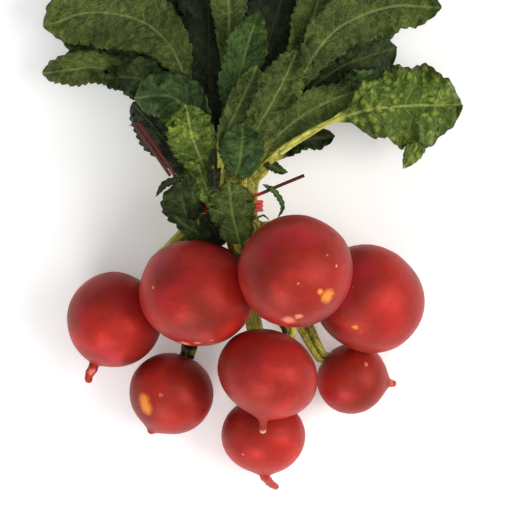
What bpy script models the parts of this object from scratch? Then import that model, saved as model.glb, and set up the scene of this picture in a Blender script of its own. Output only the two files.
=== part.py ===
"""A tied bunch of eight globe radishes with their leaves, lying on a surface.

The roots lie towards -Y and the leaves reach towards +Y. The layout below is in millimetres and is drawn
for the nominal sizes; root_place and tuft_place carry it over to the driving dimensions.
"""
import math
from collections import namedtuple

import bpy
import numpy as np

MM = 0.001

# Driving dimensions, in millimetres
ROOT_DIAMETER = 44.0  # the widest root, to which the pile of roots is drawn
TUFT_REACH = 128.0  # from the tied neck to the farthest leaf tip
BLADE_WIDTH = 30.0  # the widest leaf blade
BLADE_THICKNESS = 0.9
STALK_DIAMETER = 3.4  # a leaf stalk in the neck
STALK_FOOT_DIAMETER = 2.5  # where it grows from the crown
COLUMN_GAP = 1.0  # between stalks side by side in the neck
ROW_GAP = 0.4  # between stalks one above the other in the neck
NECK_LENGTH = 12.5  # the straight run of the stalks through the tie
WIRE_DIAMETER = 1.3
TURN_GAP = 0.2  # between one turn of the tie and the next
CLEARANCE = 0.3  # between any two pieces that touch

NOMINAL_ROOT_DIAMETER = 44.0
NOMINAL_REACH = 128.0
NOMINAL_BLADE_WIDTH = 30.0
NECK = np.array((-11.4, 13.5, 30.0))  # where the stalks enter the neck, on its middle line
NECK_ROWS = (5, 6, 6, 6, 5, 4)  # stalks in each row of the neck, from the lowest

Root = namedtuple("Root", "name centre width length crown blunt tail via")
Leaf = namedtuple("Leaf", "root row column course width start tip_height cup arch")

# Each root: its middle, its width across and length along its axis, the way its crown faces, how blunt its
# tail end is, the points of its taproot from the middle of the root, and where its stalks pass.
ROOTS = (
    Root("radish_left", (-54.4, -25.7, 18.8), 37.2, 36.8, (0.66, 0.72, 0.16), 1.8,
         ((-8.4, -18.6, -3.0), (-9.8, -21.5, -4.0), (-9.9, -24.3, -5.0)), (-35.0, 4.5, 27.0)),
    Root("radish_mid_left", (-22.0, -14.8, 41.0), 44.0, 40.0, (0.2, 0.97, -0.1), 2.1,
         ((-4.6, -19.8, 1.0), (-4.8, -20.9, 0.8)), None),
    Root("radish_top", (14.9, -6.5, 60.6), 42.4, 41.0, (-0.63, 0.47, -0.62), 2.1,
         ((12.7, -9.5, 12.5), (13.3, -9.9, 13.2)), None),
    Root("radish_right", (43.3, -17.1, 30.4), 40.6, 42.6, (-0.72, 0.6, 0.3), 2.3,
         ((14.9, -13.1, -5.9), (15.9, -13.6, -6.5)), (15.0, 3.0, 27.0)),
    Root("radish_lower_left", (-32.3, -54.0, 16.6), 33.0, 31.2, (0.36, 0.92, -0.1), 2.0,
         ((-7.4, -13.6, -0.5), (-8.6, -15.4, -1.0)), (-16.0, -20.0, 10.5)),
    Root("radish_centre", (4.9, -45.4, 39.6), 38.8, 32.4, (0.42, 0.86, -0.29), 2.0,
         ((-2.0, -15.0, 1.0), (-1.8, -18.5, -2.6), (-2.0, -22.8, -4.6)), (10.0, -16.0, 27.0)),
    Root("radish_lower_right", (37.6, -48.3, 14.2), 28.0, 26.8, (-0.8, 0.6, 0.05), 2.1,
         ((13.0, -1.6, -0.5), (15.0, -1.9, -1.0), (17.3, -2.2, -1.4)), (15.0, -18.0, 16.0)),
    Root("radish_bottom", (3.4, -70.3, 16.3), 32.4, 29.2, (0.1, 0.97, -0.18), 2.1,
         ((0.2, -14.8, 0.6), (1.4, -17.4, -3.6), (3.2, -19.5, -8.4), (5.2, -20.9, -13.0)),
         (1.0, -26.0, 12.0)),
)
CROWN_RADIUS = 4.6  # of the flat top of a root, where the stalks grow
CROWN_BLUNTNESS = 2.1  # of the crown half of a root, where 2 is a globe
TAIL_RADIUS = 1.6  # of the taproot where it leaves the root
TAIL_TIP_RADIUS = 1.0
TAIL_FLARE = 1.8  # tail radii to which a root narrows before its taproot starts
ROOT_SIDES = 12
BODY_STATIONS = 10

# Each leaf, from the lowest in the pile: its root, its row and column in the neck, the points that its
# midrib passes beyond the neck, its half width, the share of that course where the blade starts, the height
# of its tip, how far its edges turn up (or down), and how high it arches.
LEAVES = (
    Leaf("radish_lower_left", 0, 0, ((-30, 50), (-48, 78), (-62, 112)), 12, 0.35, 1.5, 0.5, 0),
    Leaf("radish_lower_left", 0, 1, ((-24, 55), (-34, 90), (-42, 125)), 13, 0.35, 1.5, 0.5, 0),
    Leaf("radish_bottom", 0, 2, ((-12, 60), (-10, 100), (-14, 138)), 14, 0.38, 1.5, 0.5, 0),
    Leaf("radish_bottom", 0, 3, ((0, 58), (16, 92), (24, 128)), 14, 0.35, 1.5, 0.5, 0),
    Leaf("radish_lower_right", 0, 4, ((8, 50), (34, 80), (58, 108)), 13, 0.35, 1.5, 0.5, 0),
    Leaf("radish_left", 1, 0, ((-33, 50), (-58, 80), (-76, 108)), 13, 0.35, 3, 1.5, 2),
    Leaf("radish_lower_left", 1, 1, ((-27, 60), (-44, 96), (-52, 132)), 13, 0.38, 3, 2, 2),
    Leaf("radish_lower_left", 1, 2, ((-18, 62), (-22, 104), (-24, 146)), 14, 0.4, 3, 2, 2),
    Leaf("radish_bottom", 1, 3, ((-6, 62), (2, 106), (6, 150)), 14, 0.4, 3, 2, 2),
    Leaf("radish_lower_right", 1, 4, ((6, 56), (28, 94), (42, 132)), 14, 0.38, 3, 2, 2),
    Leaf("radish_lower_right", 1, 5, ((10, 48), (30, 72), (44, 104)), 12, 0.38, 3, 1.5, 2),
    Leaf("radish_left", 2, 0, ((-38, 57), (-57, 71), (-82.5, 70)), 7.5, 0.48, 12, 1, 4),
    Leaf("radish_left", 2, 1, ((-26, 60), (-40, 92), (-60, 122)), 14, 0.38, 8, 2, 4),
    Leaf("radish_centre", 2, 2, ((-17, 64), (-18, 96), (-22, 130)), 12, 0.08, 8, -2, 4),
    Leaf("radish_centre", 2, 3, ((-2, 60), (10, 98), (18, 138)), 13, 0.12, 8, 2, 4),
    Leaf("radish_right", 2, 4, ((8, 50), (30, 70), (55, 80)), 14, 0.3, 8, -2, 4),
    Leaf("radish_right", 2, 5, ((9, 38), (20, 44), (31, 45)), 5.5, 0.3, 14, 1, 2),
    Leaf("radish_left", 3, 0, ((-29, 36), (-38, 48), (-47, 58)), 9, 0.03, 18, -2, 2),
    Leaf("radish_mid_left", 3, 1, ((-25, 60), (-36, 84), (-60, 93), (-82, 88)), 15, 0.36, 14, 2, 6),
    Leaf("radish_centre", 3, 2, ((-11, 60), (-10, 92), (-12, 126)), 8, 0.4, 16, 2, 6),
    Leaf("radish_centre", 3, 3, ((8, 54), (19, 80), (30, 118)), 9, 0.38, 14, 2, 6),
    Leaf("radish_right", 3, 4, ((10, 52), (28, 83), (52, 95), (72, 95)), 12, 0.35, 14, 2, 6),
    Leaf("radish_right", 3, 5, ((12, 44), (34, 61), (50, 70)), 7, 0.35, 14, 1, 4),
    Leaf("radish_mid_left", 4, 0, ((-28, 50), (-42, 66), (-59, 67)), 9, 0.25, 22, -3, 6),
    Leaf("radish_mid_left", 4, 1, ((-21, 46), (-31, 59), (-46, 59)), 11, 0.22, 26, -2, 4),
    Leaf("radish_mid_left", 4, 2, ((-8, 56), (-4, 75), (1, 92)), 9, 0.25, 30, 3, 6),
    Leaf("radish_top", 4, 3, ((6, 42), (22, 55), (41, 63)), 8, 0.2, 24, 2, 6),
    Leaf("radish_top", 4, 4, ((8, 37), (30, 50.5), (52, 56), (80, 57.5)), 17.5, 0.46, 14, -3, 8),
    Leaf("radish_mid_left", 5, 0, ((-20, 34), (-24, 45), (-26, 56)), 10, 0.02, 44, 2, 3),
    Leaf("radish_top", 5, 1, ((-11, 44), (-5, 58), (1, 71)), 5.5, 0.15, 40, 2, 4),
    Leaf("radish_top", 5, 3, ((-1, 43), (8, 60), (16, 77)), 9, 0.2, 36, 2, 5),
    Leaf("radish_top", 5, 2, ((-6, 33), (-5, 41), (-4.6, 49)), 9.5, 0.02, 45, 2, 3),
    # These two grow over the neck and outside the tie. They have no row, and their column is their gate.
    Leaf("radish_mid_left", None, (-24.0, 8.6, 43.4), ((-25.5, 13), (-27, 19), (-28, 27.5)), 8.8, -0.25, 42, -1, 2),
    Leaf("radish_top", None, (-7.0, 6.0, 47.5), ((-7.8, 11), (-9, 18.5), (-10, 27.3)), 9.6, -0.25, 49, -1, 1),
)
STALK_STATIONS = 7  # from the crown to the neck, both ends counted
COURSE_STATIONS = 9  # from the neck to the tip, both ends counted
COURSE_SHARES = 1 - (1 - np.linspace(0, 1, COURSE_STATIONS)) ** 1.35  # closer together towards the tip
STRAIGHT_RUN = 3.0  # of a stalk out of its crown, and into its gate
GATE_LENGTH = 2.0  # the straight run at a gate outside the tie
FINEST_EDGE = 2.2  # least half width at a leaf's tip
TIP_SHARE = 0.3  # of a blade's half width that is left at its blunt tip
RUFFLE = 1.3  # how far a blade's edge waves up and down

# A leaf's section has six points: right edge, top right, top left, left edge, bottom left, bottom right.
SECTION_COLUMN = np.array((0, 1, 2, 3, 2, 1))
# Each lies at a share of the half width, on the top (1), the underside (-1) or the edge (0).
SECTION_SHAPE = ((1, 0), (0.5, 1), (-0.5, 1), (-1, 0), (-0.5, -1), (0.5, -1))
TOP_STRIPS = ((0, 1), (1, 2), (2, 3))
UNDER_STRIPS = ((3, 4), (4, 5), (5, 0))

CELL = 0.4  # of the map of the pile's height
MAP_CORNER = np.array((-150.0, -20.0))
MAP_CELLS = (750, 600)
STEEPEST = 0.55  # how sharply a blade bends over what it lies on
SETTLING_ROUNDS = 14
EASING_ROUNDS = 4
LEAST_HOLD = 0.12  # the least share of a movable station at which a point can still be lifted


def root_place(point):
    """A layout point among the roots, at the real root size."""
    return np.array(point, float) * ROOT_DIAMETER / NOMINAL_ROOT_DIAMETER


def tuft_place(point):
    """A layout point beyond the neck, at the real reach of the leaves."""
    neck = NECK[:2]
    return root_place(NECK)[:2] + (np.array(point, float) - neck) * TUFT_REACH / NOMINAL_REACH


def unit(vector):
    vector = np.asarray(vector, float)
    return vector / np.linalg.norm(vector)


def clear_scene():
    for obj in list(bpy.data.objects):
        bpy.data.objects.remove(obj, do_unlink=True)


def make_material(name, colour, roughness):
    material = bpy.data.materials.new(name)
    material.use_nodes = True
    shader = material.node_tree.nodes["Principled BSDF"]
    shader.inputs["Base Color"].default_value = (*colour, 1.0)
    shader.inputs["Roughness"].default_value = roughness
    shader.inputs["Metallic"].default_value = 0.0
    return material


def make_tube(name, points, radii, sides, material, collection):
    """A curve object of round sections, one radius for each point."""
    curve = bpy.data.curves.new(name, "CURVE")
    curve.dimensions = "3D"
    curve.bevel_depth = MM
    curve.bevel_resolution = sides // 2 - 2
    curve.use_fill_caps = True
    spline = curve.splines.new("POLY")
    spline.points.add(len(points) - 1)
    for place, point, radius in zip(spline.points, points, radii):
        place.co = (*(point * MM), 1.0)
        place.radius = radius
    curve.materials.append(material)
    obj = bpy.data.objects.new(name, curve)
    collection.objects.link(obj)
    return obj


def smooth_course(points, shares):
    """Points at these shares of the length of a Catmull-Rom curve through the given ones."""
    points = np.array(points, float)
    ends = np.vstack((2 * points[0] - points[1], points, 2 * points[-1] - points[-2]))
    steps = np.linspace(0, 1, 12, endpoint=False)[:, None]
    fine = []
    for a, b, c, d in zip(ends[:-3], ends[1:-2], ends[2:-1], ends[3:]):
        fine.append(0.5 * (2 * b + (c - a) * steps + (2 * a - 5 * b + 4 * c - d) * steps**2
                           + (3 * b - a - 3 * c + d) * steps**3))
    fine = np.vstack((*fine, points[-1:]))
    along = np.concatenate(((0,), np.cumsum(np.linalg.norm(np.diff(fine, axis=0), axis=1))))
    wanted = along[-1] * np.asarray(shares)
    return np.column_stack([np.interp(wanted, along, fine[:, k]) for k in range(points.shape[1])])


# Roots


def root_outline(root):
    """Places along a root's axis, from the crown, as shares of its length, and the radius at each."""
    radius = root_place(root.width) / 2
    first = math.asin(CROWN_RADIUS / radius)
    last = math.pi - math.asin(TAIL_RADIUS * TAIL_FLARE / radius)
    angles = np.linspace(first, last, BODY_STATIONS)
    blunt = np.where(angles < math.pi / 2, CROWN_BLUNTNESS, root.blunt)
    return (1 - np.cos(angles)) / 2, radius * np.sin(angles) ** (2 / blunt)


def make_root(root, material, collection):
    centre, axis = root_place(root.centre), unit(root.crown)
    length = root_place(root.length)
    shares, radii = root_outline(root)
    body = [centre + axis * length * (0.5 - share) for share in shares]
    tail = [centre + root_place(point) for point in root.tail]
    tail_radii = np.linspace(TAIL_RADIUS, TAIL_TIP_RADIUS, len(tail))
    return make_tube(root.name, [*body, *tail], [*radii, *tail_radii], ROOT_SIDES, material, collection)


def crown_of(root):
    """The middle of the flat top that a root's stalks grow from."""
    share = root_outline(root)[0][0]
    return root_place(root.centre) + unit(root.crown) * root_place(root.length) * (0.5 - share)


# Stalks, from the crowns to the neck


def gates():
    """Where each leaf's stalk enters the neck, or passes beside it."""
    places = []
    for leaf in LEAVES:
        if leaf.row is None:
            places.append(root_place(leaf.column))
            continue
        across = (leaf.column - (NECK_ROWS[leaf.row] - 1) / 2) * (STALK_DIAMETER + COLUMN_GAP)
        up = (leaf.row - (len(NECK_ROWS) - 1) / 2) * (STALK_DIAMETER + ROW_GAP)
        places.append(root_place(NECK) + (across, 0, up))
    return np.array(places)


def stalk_feet(root, leaves, ends):
    """Where the stalks of one root start: a ring on its crown, each nearest to where it goes."""
    axis = unit(root.crown)
    side = unit(np.cross(axis, (0, 0, 1)))
    up = np.cross(side, axis)
    count = len(leaves)
    ring = (STALK_FOOT_DIAMETER + CLEARANCE) / 2 / math.sin(math.pi / count)
    middle = np.mean([ends[k] for k in leaves], axis=0)
    bearing = [math.atan2((ends[k] - middle) @ up, (ends[k] - middle) @ side) for k in leaves]
    feet = {}
    for place, k in enumerate(np.array(leaves)[np.argsort(bearing)]):
        angle = sorted(bearing)[0] + place * 2 * math.pi / count
        offset = (side * math.cos(angle) + up * math.sin(angle)) * ring
        feet[k] = crown_of(root) + axis * CLEARANCE + offset
    return feet


def first_stalks(ends):
    """Each stalk's points from its crown to its gate, before they are spread apart."""
    stalks = [None] * len(LEAVES)
    for root in ROOTS:
        mine = [k for k, leaf in enumerate(LEAVES) if leaf.root == root.name]
        for k, foot in stalk_feet(root, mine, ends).items():
            out = foot + unit(root.crown) * STRAIGHT_RUN
            before = ends[k] - (0, STRAIGHT_RUN, 0)
            middle = [] if root.via is None else [root_place(root.via)]
            bend = smooth_course([out, *middle, before], np.linspace(0, 1, STALK_STATIONS - 2))
            stalks[k] = np.vstack((foot, bend, ends[k]))
    return np.array(stalks)


def push_off_roots(samples, owners, margin):
    """How far each sample has to move to clear every root."""
    push = np.zeros_like(samples)
    for root in ROOTS:
        axis = unit(root.crown)
        away = samples - root_place(root.centre)
        along = away @ axis
        across = np.linalg.norm(away - along[:, None] * axis, axis=1)
        long, wide = root_place(root.length) / 2 + margin, root_place(root.width) / 2 + margin
        depth = np.sqrt((along / long) ** 2 + (across / wide) ** 2)
        near = (depth < 1) & (owners != root.name)
        push[near] += away[near] * (1 / depth[near] - 1)[:, None]
    return push


# How the stalks are spread apart: looks at each stalk's run between two stations, rounds, the part of them
# that also straightens the stalks, the share of each push and of each straightening that is taken, and the
# spare gaps to stalks and to roots.
LOOKS_PER_RUN = 4
SPREAD_ROUNDS = 260
STRAIGHTENED_PART = 0.6
PUSH_SHARE = 1.3
STRAIGHTEN_SHARE = 0.12
SPARE_TO_STALK = 0.12
SPARE_TO_ROOT = 0.5


def spread_stalks(stalks):
    """Moves the stalks' points until no stalk touches another, a root or the surface."""
    count, stations, _ = stalks.shape
    shares = np.linspace(0, stations - 1, (stations - 1) * LOOKS_PER_RUN + 1)
    weights = np.maximum(0, 1 - np.abs(shares[:, None] - np.arange(stations)))
    thick = np.interp(shares, (0, stations - 1), (STALK_FOOT_DIAMETER, STALK_DIAMETER)) / 2
    radius = np.tile(thick, count)
    stalk_of = np.repeat(np.arange(count), len(shares))
    owners = np.array([LEAVES[k].root for k in stalk_of])
    other = stalk_of[:, None] != stalk_of[None]
    needed = radius[:, None] + radius[None] + CLEARANCE + SPARE_TO_STALK
    free = np.ones(stations)
    free[[0, 1, -1]] = 0
    for turn in range(SPREAD_ROUNDS):
        samples = (weights @ stalks).reshape(-1, 3)
        gap = samples[:, None] - samples[None]
        distance = np.linalg.norm(gap, axis=2) + 1e-9
        short = np.where(other, np.maximum(needed - distance, 0), 0)
        push = (gap * (short / distance)[:, :, None]).sum(axis=1) * 0.5
        most = short.max(axis=1)
        length = np.linalg.norm(push, axis=1) + 1e-9
        push *= np.minimum(1, most / length)[:, None]
        push += push_off_roots(samples, owners, STALK_DIAMETER / 2 + CLEARANCE + SPARE_TO_ROOT)
        push[:, 2] += np.maximum(radius + CLEARANCE - samples[:, 2], 0)
        moved = push.reshape(count, -1, 3)
        step = np.einsum("sj,nsk->njk", weights, moved) / weights.sum(axis=0)[None, :, None]
        stalks = stalks + step * free[None, :, None] * PUSH_SHARE
        if turn < SPREAD_ROUNDS * STRAIGHTENED_PART:
            ease = (stalks[:, :-2] + stalks[:, 2:]) / 2 - stalks[:, 1:-1]
            stalks[:, 1:-1] += ease * free[None, 1:-1, None] * STRAIGHTEN_SHARE
    return stalks


# Leaves


def round_ring(centre, way, radius):
    """A six-sided section square to a stalk."""
    side = unit(np.cross(way, (0, 0, 1)))
    up = np.cross(side, way)
    angles = np.arange(6) * math.pi / 3
    return centre + radius * (np.cos(angles)[:, None] * side + np.sin(angles)[:, None] * up)


def stalk_rings(points):
    """Sections from the crown to the gate, the first one square to the crown."""
    ways = np.gradient(points, axis=0)
    ways[0] = points[1] - points[0]
    ways[-1] = (0, 1, 0)
    radii = np.linspace(STALK_FOOT_DIAMETER, STALK_DIAMETER, len(points)) / 2
    return [round_ring(p, unit(way), r) for p, way, r in zip(points, ways, radii)]


def blade_rings(leaf, gate, number):
    """Sections from the gate to the tip: round at first, then wide and thin."""
    run = NECK_LENGTH if leaf.row is not None else GATE_LENGTH
    way = (0, run) if leaf.row is not None else unit(tuft_place(leaf.course[0]) - gate[:2]) * run
    out = gate[:2] + way
    course = smooth_course([out, *(tuft_place(point) for point in leaf.course)], COURSE_SHARES)
    ways = np.gradient(course, axis=0)
    ways[0] = way
    ways /= np.linalg.norm(ways, axis=1)[:, None]
    sides = np.column_stack((ways[:, 1], -ways[:, 0]))
    s = COURSE_SHARES
    b = np.clip((s - leaf.start) / (1 - leaf.start), 0, 1)
    stalk = STALK_DIAMETER / 2 * (1 - 0.55 * s)
    spread = leaf.width * BLADE_WIDTH / NOMINAL_BLADE_WIDTH * np.sin(math.pi * b**1.4) ** 0.5
    half = np.maximum(stalk, spread)
    half[-1] = max(FINEST_EDGE, TIP_SHARE * spread.max())
    flat = np.clip(half / stalk - 1, 0, 1)
    thick = np.where(flat > 0, BLADE_THICKNESS / 2 + (stalk * 0.87 - BLADE_THICKNESS / 2) * (1 - flat),
                     stalk * 0.87)
    thick = np.minimum(thick, half * 0.87)
    height = gate[2] + (leaf.tip_height - gate[2]) * s**1.3 + leaf.arch * 4 * s * (1 - s)
    wave = RUFFLE * flat * np.sin(2.3 * np.arange(COURSE_STATIONS) + number)
    turn_up = leaf.cup * flat * spread / leaf.width
    rings = np.empty((COURSE_STATIONS, 6, 3))
    for column, (share, lift) in enumerate(SECTION_SHAPE):
        rings[:, column, :2] = course + sides * (half * share)[:, None]
        edge = turn_up + wave * (1 if share > 0 else -1) if lift == 0 else 0.15 * turn_up
        rings[:, column, 2] = height + lift * thick + edge
    rings[0] = round_ring(np.array((*out, gate[2])), np.array((*ways[0], 0)), STALK_DIAMETER / 2)
    return rings


def strip_triangles(strips, stations):
    """Triangles of the section strips, each corner as (station, section point).

    The top and the underside split each four-cornered patch along the same line, so that they stay apart.
    """
    found = []
    for j in range(stations - 1):
        for a, b in strips:
            if (a, b) in TOP_STRIPS:
                found += [((j, a), (j, b), (j + 1, b)), ((j, a), (j + 1, b), (j + 1, a))]
            else:
                found += [((j, a), (j, b), (j + 1, a)), ((j, b), (j + 1, b), (j + 1, a))]
    return np.array(found)


def spread_in_triangle(steps):
    """Evenly spread places in a triangle, as shares of its corners."""
    return np.array([(i, j, steps - i - j) for i in range(steps + 1) for j in range(steps + 1 - i)]) / steps


PLACES = spread_in_triangle(32)
TOP = strip_triangles(TOP_STRIPS, COURSE_STATIONS)
UNDER = strip_triangles(UNDER_STRIPS, COURSE_STATIONS)


def cells_of(points):
    cells = np.floor((points[..., :2] - MAP_CORNER) / CELL).astype(int)
    return cells[..., 0], cells[..., 1]


def surface_points(rings, triangles):
    corners = rings[triangles[..., 0], triangles[..., 1]]
    return np.einsum("pc,tck->tpk", PLACES, corners)


def widened(pile):
    """The map with each cell as high as the highest beside it."""
    high = pile.copy()
    for axis in (0, 1):
        high = np.maximum(high, np.maximum(np.roll(high, 1, axis), np.roll(high, -1, axis)))
    return high


def lay_on_pile(rings, pile):
    """Lifts a leaf's sections until it clears the pile, bending no more sharply than a leaf does."""
    high = widened(pile)
    movable = np.ones(len(rings))
    movable[0] = 0
    mobile = PLACES @ movable[UNDER[..., 0]][..., None]
    mobile = mobile[..., 0]
    middles = rings.mean(axis=1)
    apart = np.linalg.norm(np.diff(middles, axis=0), axis=1)
    for _ in range(SETTLING_ROUNDS):
        points = surface_points(rings, UNDER)
        lack = high[cells_of(points)] + CLEARANCE - points[..., 2]
        need = np.where(mobile > LEAST_HOLD, lack / np.maximum(mobile, LEAST_HOLD), -1).max(axis=1)
        if need.max() <= 1e-6:
            break
        lift = np.zeros((len(rings), 4))
        for corners, up in zip(UNDER, need):
            for station, point in corners:
                lift[station, SECTION_COLUMN[point]] = max(lift[station, SECTION_COLUMN[point]], up)
        lift[0] = 0
        lift = relaxed(lift, rings, apart)
        rings[:, :, 2] += lift[:, SECTION_COLUMN]
    return rings


def relaxed(lift, rings, apart):
    """Raises the neighbours of a lifted point, so that the lift falls off gently."""
    across = np.linalg.norm(np.diff(rings[:, :4, :2], axis=1), axis=2) * STEEPEST
    for _ in range(EASING_ROUNDS):
        for j in range(2, len(lift)):
            lift[j] = np.maximum(lift[j], lift[j - 1] - apart[j - 1] * STEEPEST)
        for j in range(len(lift) - 2, 0, -1):
            lift[j] = np.maximum(lift[j], lift[j + 1] - apart[j] * STEEPEST)
        for k in range(3):
            lift[1:, k] = np.maximum(lift[1:, k], lift[1:, k + 1] - across[1:, k])
            lift[1:, 3 - k] = np.maximum(lift[1:, 3 - k], lift[1:, 2 - k] - across[1:, 2 - k])
    return lift


def add_to_pile(rings, pile):
    points = surface_points(rings, TOP)
    np.maximum.at(pile, cells_of(points), points[..., 2])


def make_leaf(name, rings, material, collection):
    """One closed body through all the sections of a leaf, with a flat end at the crown and at the tip."""
    count = len(rings)
    points = [tuple(point * MM) for ring in rings for point in ring]
    faces = [tuple(range(6)), tuple(reversed(range(6 * (count - 1), 6 * count)))]
    for strip in strip_triangles(TOP_STRIPS + UNDER_STRIPS, count):
        faces.append(tuple(6 * station + point for station, point in reversed(strip)))
    mesh = bpy.data.meshes.new(name)
    mesh.from_pydata(points, [], faces)
    mesh.materials.append(material)
    mesh.shade_smooth()
    obj = bpy.data.objects.new(name, mesh)
    collection.objects.link(obj)
    return obj


# The tie

WIRE_TURNS = 3  # and the sixth of a turn that brings the wire to the left
WIRE_START = math.radians(60)
WIRE_STEP = math.radians(20)
FIRST_TURN = 0.6  # of the neck's length, where the wire's first turn starts
WIRE_SIDES = 6
RIGHT_END = ((22.0, 8.5, 1.5), (12.0, 4.4, 1.0), (5.0, 1.4, 0.6))  # from the first turn
LEFT_END = ((-25.5, 20.5), (-30.5, 30.0), (-37.0, 39.5), (-43.0, 47.8))
FOLD_REACH = 1.2  # how far the fold at the left end stands out
FOLD_GAP = 0.2  # between the two strands of the left end

def wire_round(angle, slots):
    """The wire's middle line round the bundle of stalks, at this angle in the neck's section."""
    way = np.array((math.cos(angle), math.sin(angle)))
    outermost = slots[np.argmax(slots @ way)]
    return outermost + way * (STALK_DIAMETER / 2 + CLEARANCE + WIRE_DIAMETER / 2)


def tie_points(ends, pile):
    """The wire from its right end, three times round the neck, to its doubled left end."""
    slots = np.array([end[[0, 2]] for end, leaf in zip(ends, LEAVES) if leaf.row is not None])
    stop = WIRE_START + 2 * math.pi * (WIRE_TURNS + 1 / 6)
    angles = np.arange(WIRE_START, stop + WIRE_STEP / 2, WIRE_STEP)
    y_start = root_place(NECK)[1] + NECK_LENGTH * FIRST_TURN
    turns = []
    for angle in angles:
        x, z = wire_round(angle, slots)
        turns.append((x, y_start - (angle - WIRE_START) / (2 * math.pi) * (WIRE_DIAMETER + TURN_GAP), z))
    first, last = np.array(turns[0]), np.array(turns[-1])
    right = [first + offset for offset in RIGHT_END]
    reach = np.array([tuft_place(point) for point in LEFT_END])
    low = pile_top(reach, pile)
    out = [(*point, low) for point in reach]
    out[0] = (*reach[0], (last[2] + low) / 2)
    back_way = unit(reach[-1] - reach[0])
    aside = np.array((-back_way[1], back_way[0])) * (WIRE_DIAMETER + FOLD_GAP)
    tip = (*(reach[-1] + back_way * FOLD_REACH + aside / 2), low)
    back = [(*(point + aside), low) for point in reach[:0:-1]]
    return np.array([*right, *turns, *out, tip, *back])


def pile_top(points, pile):
    """The height that clears the pile under a run of points."""
    run = np.linspace(0, 1, 40)[:, None]
    dense = np.vstack([a + (b - a) * run for a, b in zip(points[:-1], points[1:])])
    reach = 6
    i, j = cells_of(dense)
    tallest = max(pile[a - reach:a + reach + 1, b - reach:b + reach + 1].max() for a, b in zip(i, j))
    return max(tallest, 0) + WIRE_DIAMETER / 2 + CLEARANCE


def add_wire_to_pile(points, pile):
    run = np.linspace(0, 1, 30)[:, None]
    dense = np.vstack([a + (b - a) * run for a, b in zip(points[:-1], points[1:])])
    dense[:, 2] += WIRE_DIAMETER / 2
    for across in (-WIRE_DIAMETER / 2, 0, WIRE_DIAMETER / 2):
        for along in (-WIRE_DIAMETER / 2, 0, WIRE_DIAMETER / 2):
            np.maximum.at(pile, cells_of(dense + (across, along, 0)), dense[:, 2])


def centre_over_origin(objects):
    """Puts the middle of the bunch's box over the origin, and its lowest point on the surface."""
    bpy.context.view_layer.update()
    graph = bpy.context.evaluated_depsgraph_get()
    corners = []
    for obj in objects:
        mesh = obj.evaluated_get(graph).to_mesh()
        corners.extend(vertex.co for vertex in mesh.vertices)
    corners = np.array(corners)
    low, high = corners.min(axis=0), corners.max(axis=0)
    for obj in objects:
        obj.location = (-(low[0] + high[0]) / 2, -(low[1] + high[1]) / 2, -low[2])


def main():
    clear_scene()
    collection = bpy.data.collections.new("bunch_of_radishes")
    bpy.context.scene.collection.children.link(collection)
    skin = make_material("radish_skin", (0.4, 0.02, 0.02), 0.35)
    green = make_material("leaf_green", (0.09, 0.16, 0.03), 0.5)
    wire = make_material("tie_red", (0.5, 0.03, 0.02), 0.4)
    objects = [make_root(root, skin, collection) for root in ROOTS]
    ends = gates()
    stalks = spread_stalks(first_stalks(ends))
    pile = np.zeros(MAP_CELLS)
    points = None
    for number, (leaf, stalk) in enumerate(zip(LEAVES, stalks)):
        if leaf.row is None and points is None:
            points = tie_points(ends, pile)
            add_wire_to_pile(points, pile)
        blade = lay_on_pile(blade_rings(leaf, ends[number], number), pile)
        add_to_pile(blade, pile)
        rings = np.array([*stalk_rings(stalk), *blade])
        objects.append(make_leaf(f"leaf_{number + 1:02d}", rings, green, collection))
    objects.append(make_tube("tie", points, [WIRE_DIAMETER / 2] * len(points), WIRE_SIDES, wire, collection))
    centre_over_origin(objects)


main()
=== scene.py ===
"""Looks for a tied bunch of globe radishes: fine roots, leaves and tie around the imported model.

Each fine piece takes its place from the sections of its CAD node, so it follows the model.
Lengths in tables are in millimetres, and MM turns them into the scene's metres.
"""
import math
import random

import bpy
import numpy as np
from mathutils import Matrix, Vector, noise
from mathutils.bvhtree import BVHTree


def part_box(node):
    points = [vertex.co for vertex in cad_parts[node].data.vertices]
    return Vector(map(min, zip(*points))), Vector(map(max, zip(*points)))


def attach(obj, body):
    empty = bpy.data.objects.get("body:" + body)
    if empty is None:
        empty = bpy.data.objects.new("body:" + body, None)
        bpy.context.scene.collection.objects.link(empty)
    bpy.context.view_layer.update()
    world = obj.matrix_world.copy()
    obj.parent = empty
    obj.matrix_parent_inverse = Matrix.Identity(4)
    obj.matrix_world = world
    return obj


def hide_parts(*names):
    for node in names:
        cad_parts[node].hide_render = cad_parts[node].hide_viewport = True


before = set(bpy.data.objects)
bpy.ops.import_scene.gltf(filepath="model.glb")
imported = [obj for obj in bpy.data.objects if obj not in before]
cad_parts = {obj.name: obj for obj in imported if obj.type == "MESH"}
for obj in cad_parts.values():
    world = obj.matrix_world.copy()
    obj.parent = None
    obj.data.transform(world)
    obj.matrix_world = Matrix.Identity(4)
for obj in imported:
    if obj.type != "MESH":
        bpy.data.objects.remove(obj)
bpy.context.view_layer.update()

MM = 0.001
UP = np.array((0.0, 0.0, 1.0))

FLAT = 0.9999  # cosine between triangles of one flat face
ROOT_SIDES = 12  # corners of a CAD root's section
LEAF_SIDES = 6
TIE_SIDES = 6
BODY_RINGS = 10  # sections of a CAD root before those of its taproot
FINE_SIDES = 72
FINE_RINGS = 84
CROWN_RINGS = 5  # fine rings over the flat top of a root
LEAF_COUNT = 34
STALK_RINGS = 7  # a leaf's sections from the crown to the neck
BLADE_STEPS = 170
STALK_STEPS = 26
ACROSS = 9  # points on each side of the midrib, with the midrib's own


def unit(vector):
    vector = np.asarray(vector, float)
    return vector / np.linalg.norm(vector)


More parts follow.
